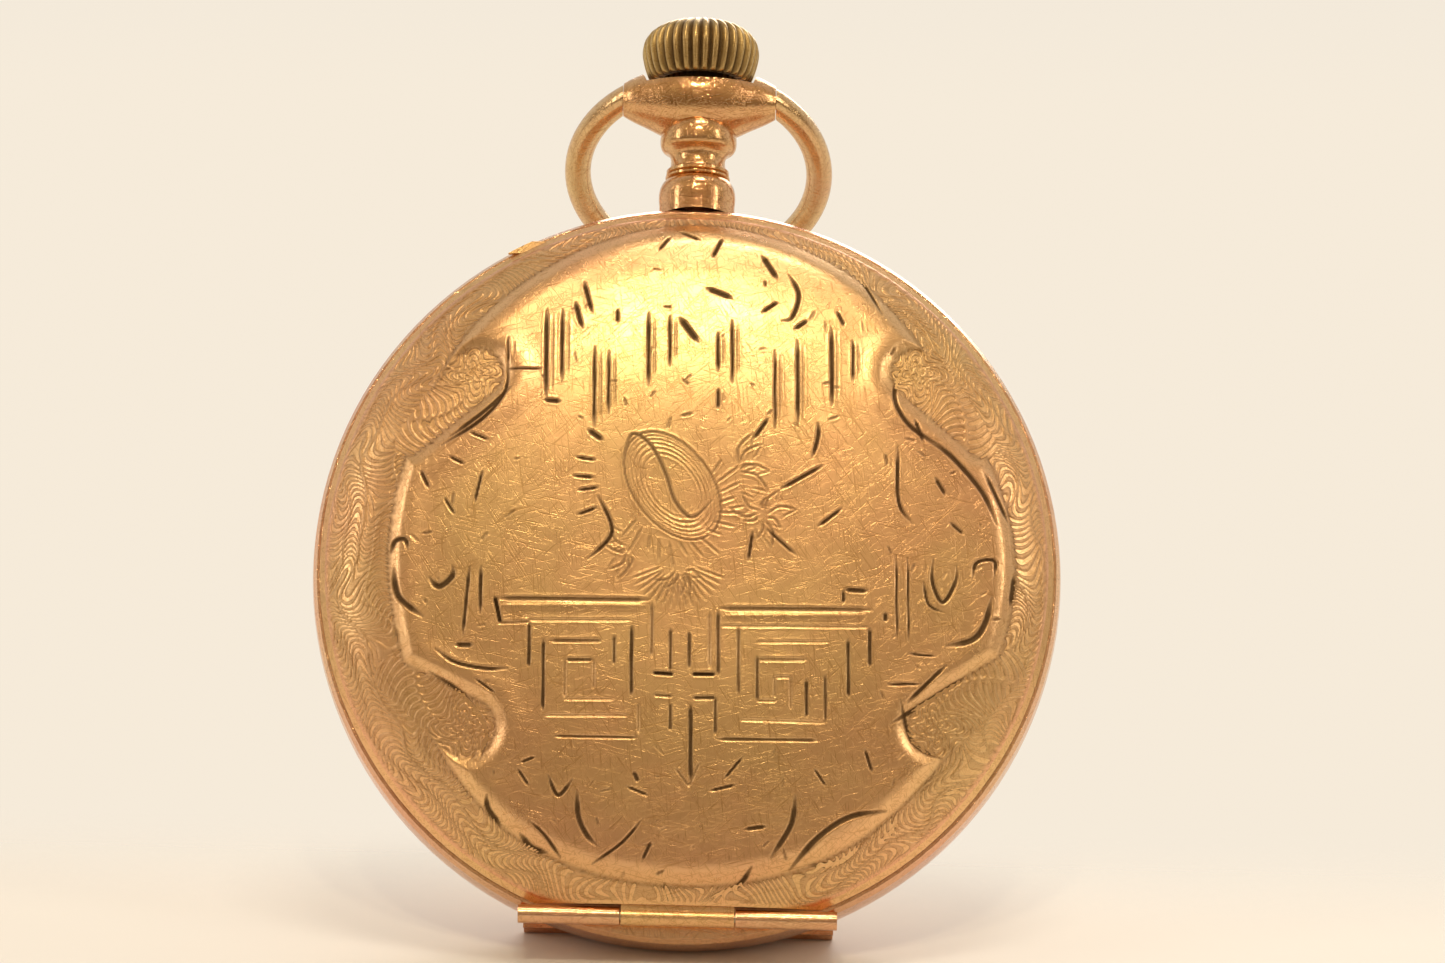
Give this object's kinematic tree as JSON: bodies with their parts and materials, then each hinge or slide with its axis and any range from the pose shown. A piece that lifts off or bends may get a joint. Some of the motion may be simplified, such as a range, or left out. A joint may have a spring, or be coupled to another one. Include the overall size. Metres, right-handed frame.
{
  "type": "hunter-case pocket watch",
  "caption": "Pocket watch with an engraved double-lid round case, swinging bow, winding crown and a lever movement under an inner dust cover.",
  "frame": {"origin": "centre of the case, where the centre arbor crosses the middle plane of the band", "axes": "+Z to the crown, -Y out of the engraved back cover, +X to the right as the back cover is looked at"},
  "size_m": [0.052, 0.0218, 0.0664],
  "materials": {
    "rose_gold": "satin",
    "gold": "satin",
    "gold_front": "satin",
    "polished_gold": "polished",
    "pendant_gold": "polished",
    "crown_gold": "worn",
    "bow_gold": "polished",
    "hinge_steel": "satin",
    "crystal": "clear",
    "steel": "polished",
    "spring_steel": "satin",
    "blued_steel": "polished",
    "nickel": "damascened",
    "ruby": "polished",
    "brass": "satin",
    "train_brass": "polished",
    "enamel": "fired enamel"
  },
  "bodies": {
    "case": {"case_band": "rose_gold", "back_hinge_pin": "hinge_steel", "front_hinge_pin": "hinge_steel", "inner_hinge_pin": "hinge_steel", "bezel": "polished_gold", "crystal": "crystal", "pendant": "pendant_gold", "pendant_sleeve": "steel", "lock_spring": "spring_steel", "lift_spring": "spring_steel", "case_screws": "blued_steel", "main_plate": "nickel", "barrel_bridge": "nickel", "train_bridge": "nickel", "balance_cock": "nickel", "pallet_cock": "nickel", "plate_jewels": "ruby", "bridge_jewels": "ruby", "bridge_screws": "blued_steel", "click_spring": "spring_steel", "hairspring_stud": "steel", "dial": "enamel"},
    "back_cover": {"back_cover": "gold"},
    "front_lid": {"front_lid": "gold_front"},
    "inner_cover": {"inner_cover": "polished_gold"},
    "bow": {"bow": "bow_gold"},
    "winding_arbor": {"winding_arbor": "steel"},
    "crown": {"crown_shell": "crown_gold", "crown_core": "brass", "crown_stem": "steel"},
    "winding_pinion": {"winding_pinion": "steel"},
    "clutch": {"clutch": "steel"},
    "clutch_lever": {"clutch_lever": "steel"},
    "crown_wheel": {"crown_wheel": "steel"},
    "ratchet": {"ratchet_wheel": "steel", "barrel_arbor": "steel", "ratchet_screw": "blued_steel"},
    "click": {"click": "steel"},
    "barrel": {"barrel": "brass", "barrel_cover": "brass", "mainspring": "spring_steel"},
    "centre": {"centre_wheel": "train_brass", "cannon_pinion": "steel", "minute_hand": "blued_steel"},
    "third": {"third_wheel": "train_brass"},
    "fourth": {"fourth_wheel": "train_brass", "second_hand": "blued_steel"},
    "escape": {"escape_wheel": "steel"},
    "fork": {"pallet_fork": "steel", "pallet_stones": "ruby"},
    "balance": {"balance_wheel": "train_brass", "balance_screws": "train_brass", "balance_staff": "steel", "roller_jewel": "ruby", "hairspring": "blued_steel"},
    "regulator": {"regulator": "steel"},
    "minute_wheel": {"minute_wheel": "train_brass"},
    "hour": {"hour_wheel": "train_brass", "hour_hand": "blued_steel"},
    "setting": {"setting_wheel": "steel"}
  },
  "joints": [
    {"name": "back_cover_swing", "type": "hinge", "parent": "case", "child": "back_cover", "pos_m": [0, -0.00405, -0.02405], "axis": [1, 0, 0], "range_deg": [0, 95]},
    {"name": "bow_swing", "type": "hinge", "parent": "case", "child": "bow", "pos_m": [0, 0, 0.03465], "axis": [1, 0, 0], "range_deg": [-28, 272]},
    {"name": "crown_turn", "type": "hinge", "parent": "case", "child": "winding_arbor", "pos_m": [0, 0, 0.017], "axis": [0, 0, 1], "continuous": true},
    {"name": "crown_pull", "type": "slide", "parent": "winding_arbor", "child": "crown", "axis": [0, 0, 1], "range_m": [-0.0004, 0.0012]},
    {"name": "front_lid_swing", "type": "hinge", "parent": "case", "child": "front_lid", "pos_m": [0, 0.00405, -0.02405], "axis": [-1, 0, 0], "range_deg": [0, 95]},
    {"name": "inner_cover_swing", "type": "hinge", "parent": "case", "child": "inner_cover", "pos_m": [0, -0.00368, -0.02205], "axis": [1, 0, 0], "range_deg": [0, 76]},
    {"name": "click_swing", "type": "hinge", "parent": "case", "child": "click", "pos_m": [0.0136, 0, 0.0116], "axis": [0, -1, 0], "range_deg": [0, 8]},
    {"name": "balance_swing", "type": "hinge", "parent": "case", "child": "balance", "pos_m": [-0.00194, 0, -0.01172], "axis": [0, -1, 0], "range_deg": [-270, 270], "stiffness_Nm_per_rad": 0.0000006},
    {"name": "fork_rock", "type": "hinge", "parent": "case", "child": "fork", "pos_m": [-0.00575, 0, -0.0079], "axis": [0, -1, 0], "range_deg": [-5, 5]},
    {"name": "regulator_turn", "type": "hinge", "parent": "case", "child": "regulator", "pos_m": [-0.00194, 0, -0.01172], "axis": [0, -1, 0], "range_deg": [-15, 15]},
    {"name": "fourth_turn", "type": "hinge", "parent": "case", "child": "fourth", "pos_m": [-0.0105, 0, 0], "axis": [0, -1, 0], "continuous": true},
    {"name": "third_turn", "type": "hinge", "parent": "case", "child": "third", "pos_m": [-0.00626, 0, 0.00355], "axis": [0, -1, 0], "continuous": true},
    {"name": "centre_turn", "type": "hinge", "parent": "case", "child": "centre", "pos_m": [0, 0, 0], "axis": [0, -1, 0], "continuous": true},
    {"name": "escape_turn", "type": "hinge", "parent": "case", "child": "escape", "pos_m": [-0.00869, 0, -0.00496], "axis": [0, -1, 0], "continuous": true},
    {"name": "barrel_turn", "type": "hinge", "parent": "case", "child": "barrel", "pos_m": [0.00758, 0, 0.00636], "axis": [0, -1, 0], "continuous": true},
    {"name": "minute_wheel_turn", "type": "hinge", "parent": "case", "child": "minute_wheel", "pos_m": [0.00192, 0, 0.00333], "axis": [0, -1, 0], "continuous": true},
    {"name": "hour_turn", "type": "hinge", "parent": "case", "child": "hour", "pos_m": [0, 0, 0], "axis": [0, -1, 0], "continuous": true},
    {"name": "setting_turn", "type": "hinge", "parent": "case", "child": "setting", "pos_m": [0, 0, 0.00977], "axis": [0, -1, 0], "continuous": true},
    {"name": "winding_pinion_turn", "type": "hinge", "parent": "case", "child": "winding_pinion", "pos_m": [0, 0, 0.016], "axis": [0, 0, 1], "continuous": true},
    {"name": "crown_wheel_turn", "type": "hinge", "parent": "case", "child": "crown_wheel", "pos_m": [0, 0, 0.01212], "axis": [0, -1, 0], "continuous": true},
    {"name": "ratchet_turn", "type": "hinge", "parent": "case", "child": "ratchet", "pos_m": [0.00758, 0, 0.00636], "axis": [0, -1, 0], "continuous": true},
    {"name": "clutch_slide", "type": "slide", "parent": "winding_arbor", "child": "clutch", "axis": [0, 0, -1], "range_m": [-0.00022, 0.00066]},
    {"name": "clutch_lever_swing", "type": "hinge", "parent": "case", "child": "clutch_lever", "pos_m": [-0.0048, 0, 0.0126], "axis": [0, -1, 0], "range_deg": [-10.2, 3.5]}
  ],
  "couplings": [
    {"joint": "inner_cover_swing", "follows": "back_cover_swing", "ratio": 0.8},
    {"joint": "winding_pinion_turn", "follows": "crown_turn", "ratio": 1},
    {"joint": "crown_wheel_turn", "follows": "crown_turn", "ratio": -0.5},
    {"joint": "ratchet_turn", "follows": "crown_turn", "ratio": 0.35},
    {"joint": "clutch_slide", "follows": "crown_pull", "ratio": 0.55},
    {"joint": "clutch_lever_swing", "follows": "crown_pull", "rad_per_m": -146.7},
    {"joint": "third_turn", "follows": "fourth_turn", "ratio": -0.13333},
    {"joint": "centre_turn", "follows": "fourth_turn", "ratio": 0.016667},
    {"joint": "escape_turn", "follows": "fourth_turn", "ratio": -10},
    {"joint": "barrel_turn", "follows": "fourth_turn", "ratio": -0.0020833},
    {"joint": "minute_wheel_turn", "follows": "fourth_turn", "ratio": -0.0055556},
    {"joint": "hour_turn", "follows": "fourth_turn", "ratio": 0.0013889},
    {"joint": "setting_turn", "follows": "fourth_turn", "ratio": 0.0041667}
  ]
}
